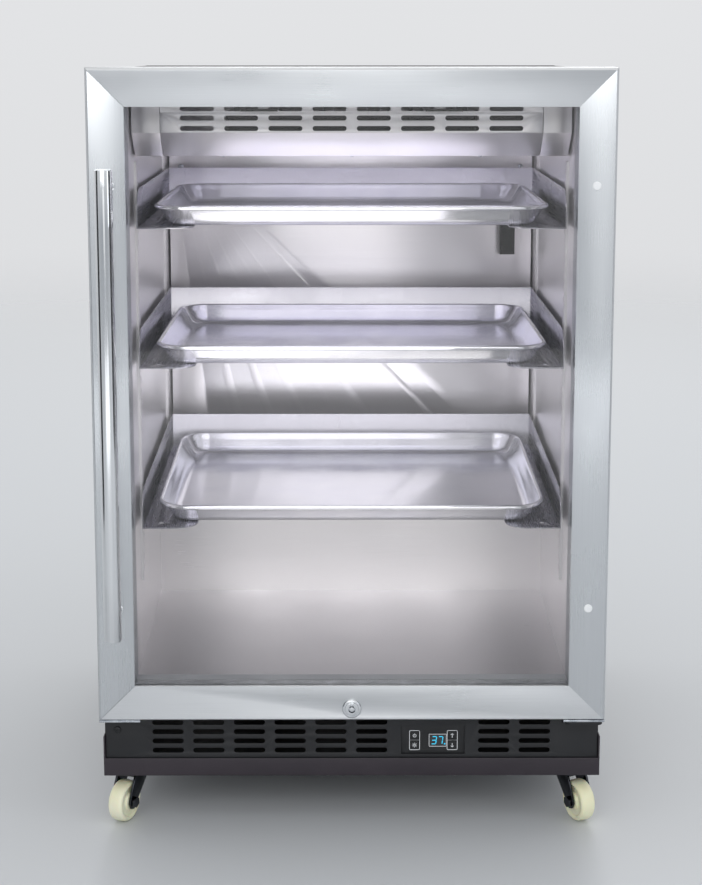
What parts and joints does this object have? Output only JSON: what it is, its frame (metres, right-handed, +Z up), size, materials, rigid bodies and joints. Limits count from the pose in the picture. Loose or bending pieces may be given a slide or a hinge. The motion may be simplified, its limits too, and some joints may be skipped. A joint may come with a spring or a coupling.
{
  "type": "proofing cabinet",
  "caption": "Undercounter proofing cabinet with a framed glass door, pull handle, lock, racks with sheet pans, louvred kick panel with controls, and swivel casters.",
  "frame": {"origin": "on the floor under the centre of the bounding box, which runs from the handle's front to the rear cover", "axes": "+X to the right seen from the front, +Y from the door to the back, +Z up"},
  "size_m": [0.6, 0.654, 0.917],
  "materials": {
    "door_steel": "satin",
    "handle_steel": "satin",
    "liner_steel": "satin",
    "case_paint": "satin",
    "kick_paint": "satin",
    "band_plastic": "satin",
    "zinc_steel": "satin",
    "chrome": "polished",
    "pan_aluminium": "polished",
    "fin_aluminium": "satin",
    "foam": "matte",
    "glass_clear": "gloss",
    "gasket_rubber": "matte",
    "trim_plastic": "matte",
    "grey_plastic": "matte",
    "button_plastic": "satin",
    "display_glass": "gloss",
    "wheel_nylon": "satin",
    "compressor_paint": "gloss",
    "heater_steel": "satin",
    "fan_plastic": "matte",
    "light_lens": "gloss"
  },
  "bodies": {
    "cabinet": {"outer_case": "case_paint", "insulation": "foam", "liner": "liner_steel", "front_collar": "liner_steel", "duct_cover": "liner_steel", "plenum_cover": "liner_steel", "light_modules": "light_lens", "evaporator_coil": "fin_aluminium", "fan_motors": "trim_plastic", "heater_rod": "heater_steel", "sensor_cover": "trim_plastic", "pilasters": "liner_steel", "rack_top": "liner_steel", "rack_middle": "liner_steel", "rack_bottom": "liner_steel", "hinge_brackets": "kick_paint", "strike_plate": "zinc_steel", "base_tray": "zinc_steel", "kick_grille": "kick_paint", "kick_band": "band_plastic", "control_housing": "trim_plastic", "display": "display_glass", "compressor": "compressor_paint", "condenser_coil": "fin_aluminium", "rear_cover": "kick_paint", "cord_inlet": "trim_plastic", "panel_screws": "zinc_steel", "caster_plates": "zinc_steel"},
    "door": {"door_rail_top": "door_steel", "door_rail_bottom": "door_steel", "door_stile_left": "door_steel", "door_stile_right": "door_steel", "outer_glass": "glass_clear", "inner_glass": "glass_clear", "glass_spacer": "grey_plastic", "door_liner": "trim_plastic", "gasket": "gasket_rubber", "handle_bar": "handle_steel", "handle_posts": "handle_steel", "plug_caps": "grey_plastic", "lock_body": "chrome", "corner_strips": "zinc_steel"},
    "lock": {"lock_cylinder": "chrome"},
    "circulation_rotor": {"circulation_rotor": "fan_plastic"},
    "condenser_fan": {"condenser_fan": "fan_plastic"},
    "pan_top": {"pan_top": "pan_aluminium"},
    "pan_middle": {"pan_middle": "pan_aluminium"},
    "pan_bottom": {"pan_bottom": "pan_aluminium"},
    "button_power": {"button_power": "button_plastic"},
    "button_light": {"button_light": "button_plastic"},
    "button_up": {"button_up": "button_plastic"},
    "button_down": {"button_down": "button_plastic"},
    "fork_front_left": {"caster_fork_front_left": "chrome"},
    "wheel_front_left": {"caster_wheel_front_left": "wheel_nylon"},
    "fork_front_right": {"caster_fork_front_right": "chrome"},
    "wheel_front_right": {"caster_wheel_front_right": "wheel_nylon"},
    "fork_rear_left": {"caster_fork_rear_left": "chrome"},
    "wheel_rear_left": {"caster_wheel_rear_left": "wheel_nylon"},
    "fork_rear_right": {"caster_fork_rear_right": "chrome"},
    "wheel_rear_right": {"caster_wheel_rear_right": "wheel_nylon"}
  },
  "joints": [
    {"name": "door_hinge", "type": "hinge", "parent": "cabinet", "child": "door", "pos_m": [0.288, -0.25, 0.149], "axis": [0, 0, 1], "range_deg": [0, 110]},
    {"name": "lock_turn", "type": "hinge", "parent": "door", "child": "lock", "pos_m": [0, -0.27, 0.165], "axis": [0, 1, 0], "range_deg": [0, 90]},
    {"name": "pan_top_slide", "type": "slide", "parent": "cabinet", "child": "pan_top", "axis": [0, 1, 0], "range_m": [-0.03, 0.018]},
    {"name": "pan_middle_slide", "type": "slide", "parent": "cabinet", "child": "pan_middle", "axis": [0, 1, 0], "range_m": [-0.03, 0.018]},
    {"name": "pan_bottom_slide", "type": "slide", "parent": "cabinet", "child": "pan_bottom", "axis": [0, 0.999, 0.0448], "range_m": [-0.03, 0.018]},
    {"name": "button_power_press", "type": "slide", "parent": "cabinet", "child": "button_power", "axis": [0, 1, 0], "range_m": [0, 0.0008], "stiffness_N_per_m": 400},
    {"name": "button_light_press", "type": "slide", "parent": "cabinet", "child": "button_light", "axis": [0, 1, 0], "range_m": [0, 0.0008], "stiffness_N_per_m": 400},
    {"name": "button_up_press", "type": "slide", "parent": "cabinet", "child": "button_up", "axis": [0, 1, 0], "range_m": [0, 0.0008], "stiffness_N_per_m": 400},
    {"name": "button_down_press", "type": "slide", "parent": "cabinet", "child": "button_down", "axis": [0, 1, 0], "range_m": [0, 0.0008], "stiffness_N_per_m": 400},
    {"name": "circulation_spin", "type": "hinge", "parent": "cabinet", "child": "circulation_rotor", "pos_m": [0, -0.12, 0.8415], "axis": [1, 0, 0], "continuous": true},
    {"name": "condenser_spin", "type": "hinge", "parent": "cabinet", "child": "condenser_fan", "pos_m": [0.13, 0.23, 0.142], "axis": [0, 1, 0], "continuous": true},
    {"name": "swivel_front_left", "type": "hinge", "parent": "cabinet", "child": "fork_front_left", "pos_m": [-0.27, -0.194, 0.06], "axis": [0, 0, 1], "continuous": true},
    {"name": "roll_front_left", "type": "hinge", "parent": "fork_front_left", "child": "wheel_front_left", "pos_m": [-0.27895, -0.2141, 0.025], "axis": [0.9135, -0.4067, 0], "continuous": true},
    {"name": "swivel_front_right", "type": "hinge", "parent": "cabinet", "child": "fork_front_right", "pos_m": [0.27, -0.194, 0.06], "axis": [0, 0, 1], "continuous": true},
    {"name": "roll_front_right", "type": "hinge", "parent": "fork_front_right", "child": "wheel_front_right", "pos_m": [0.27895, -0.2141, 0.025], "axis": [0.9135, 0.4067, 0], "continuous": true},
    {"name": "swivel_rear_left", "type": "hinge", "parent": "cabinet", "child": "fork_rear_left", "pos_m": [-0.27, 0.26, 0.06], "axis": [0, 0, 1], "continuous": true},
    {"name": "roll_rear_left", "type": "hinge", "parent": "fork_rear_left", "child": "wheel_rear_left", "pos_m": [-0.27, 0.282, 0.025], "axis": [-1, 0, 0], "continuous": true},
    {"name": "swivel_rear_right", "type": "hinge", "parent": "cabinet", "child": "fork_rear_right", "pos_m": [0.27, 0.26, 0.06], "axis": [0, 0, 1], "continuous": true},
    {"name": "roll_rear_right", "type": "hinge", "parent": "fork_rear_right", "child": "wheel_rear_right", "pos_m": [0.27, 0.282, 0.025], "axis": [-1, 0, 0], "continuous": true}
  ]
}
